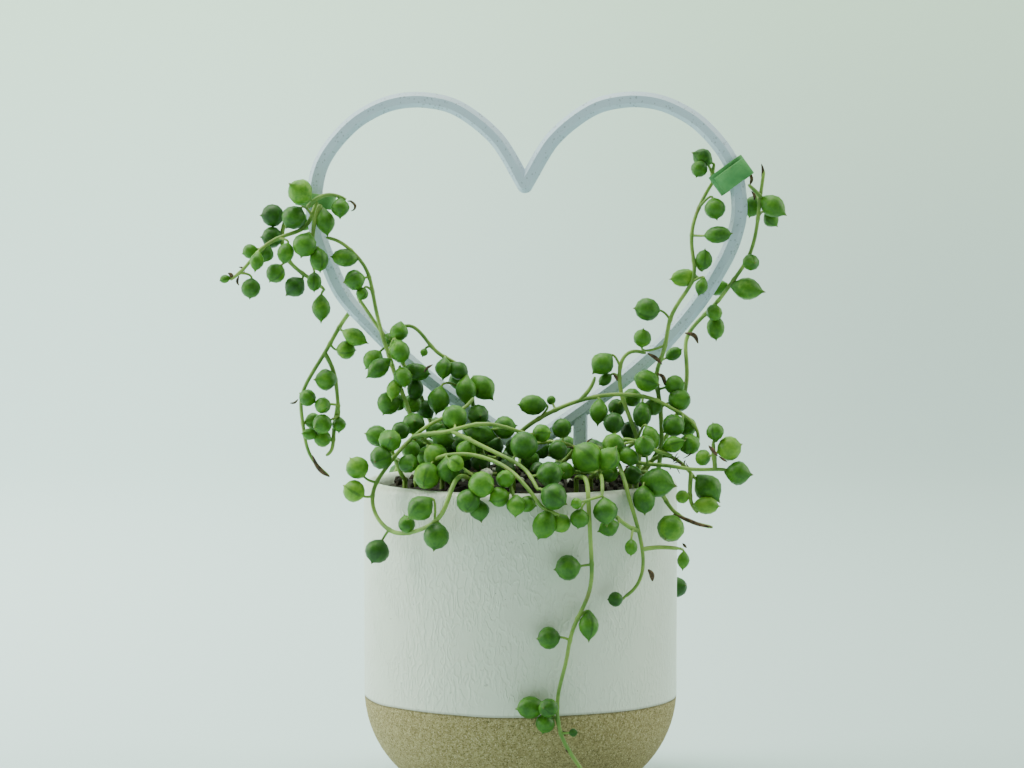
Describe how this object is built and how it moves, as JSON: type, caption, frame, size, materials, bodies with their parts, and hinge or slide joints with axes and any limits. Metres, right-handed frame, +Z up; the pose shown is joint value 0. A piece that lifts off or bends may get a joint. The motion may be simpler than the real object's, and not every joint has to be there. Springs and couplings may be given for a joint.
{
  "type": "potted string of pearls",
  "caption": "Trailing string of pearls plant in a round glazed pot, trained up a heart-shaped trellis and hanging over the rim.",
  "frame": {"origin": "centre of the pot's flat foot, where the pot stands", "axes": "+X to the right of the front view, +Y away from the front, +Z up"},
  "size_m": [0.1975, 0.1339, 0.2437],
  "materials": {
    "pot": "white crackle glaze over a bare sandy clay foot",
    "soil": "dark crumbly potting mix",
    "trellis": "matt pale grey-blue with fine dark specks",
    "tie": "soft green plant tie",
    "plant": "smooth waxy green leaves"
  },
  "bodies": {
    "root": {"pot": "pot", "soil": "soil", "heart_trellis": "trellis", "tie_left": "tie", "tie_right": "tie", "arm_left_arch": "plant", "arm_left_climber": "plant", "arm_left_second": "plant", "back_hang_1": "plant", "back_hang_2": "plant", "back_hang_3": "plant", "back_hang_4": "plant", "back_hang_5": "plant", "centre_dark": "plant", "centre_left_runner": "plant", "front_drop_left": "plant", "front_drop_mid": "plant", "front_drop_right": "plant", "front_left_loop": "plant", "front_runner": "plant", "front_trail": "plant", "hang_left": "plant", "left_deep": "plant", "left_rim": "plant", "lobe_left_arc": "plant", "lobe_left_back": "plant", "lobe_left_crown": "plant", "lobe_left_drop": "plant", "low_left": "plant", "low_right": "plant", "right_arch": "plant", "right_arm_inner": "plant", "right_arm_outer": "plant", "right_brown_tip": "plant", "right_deep": "plant", "right_inner": "plant", "right_loop": "plant", "right_rim_end": "plant", "right_runner": "plant", "soil_run_1": "plant", "soil_run_2": "plant", "soil_run_3": "plant"}
  },
  "joints": []
}
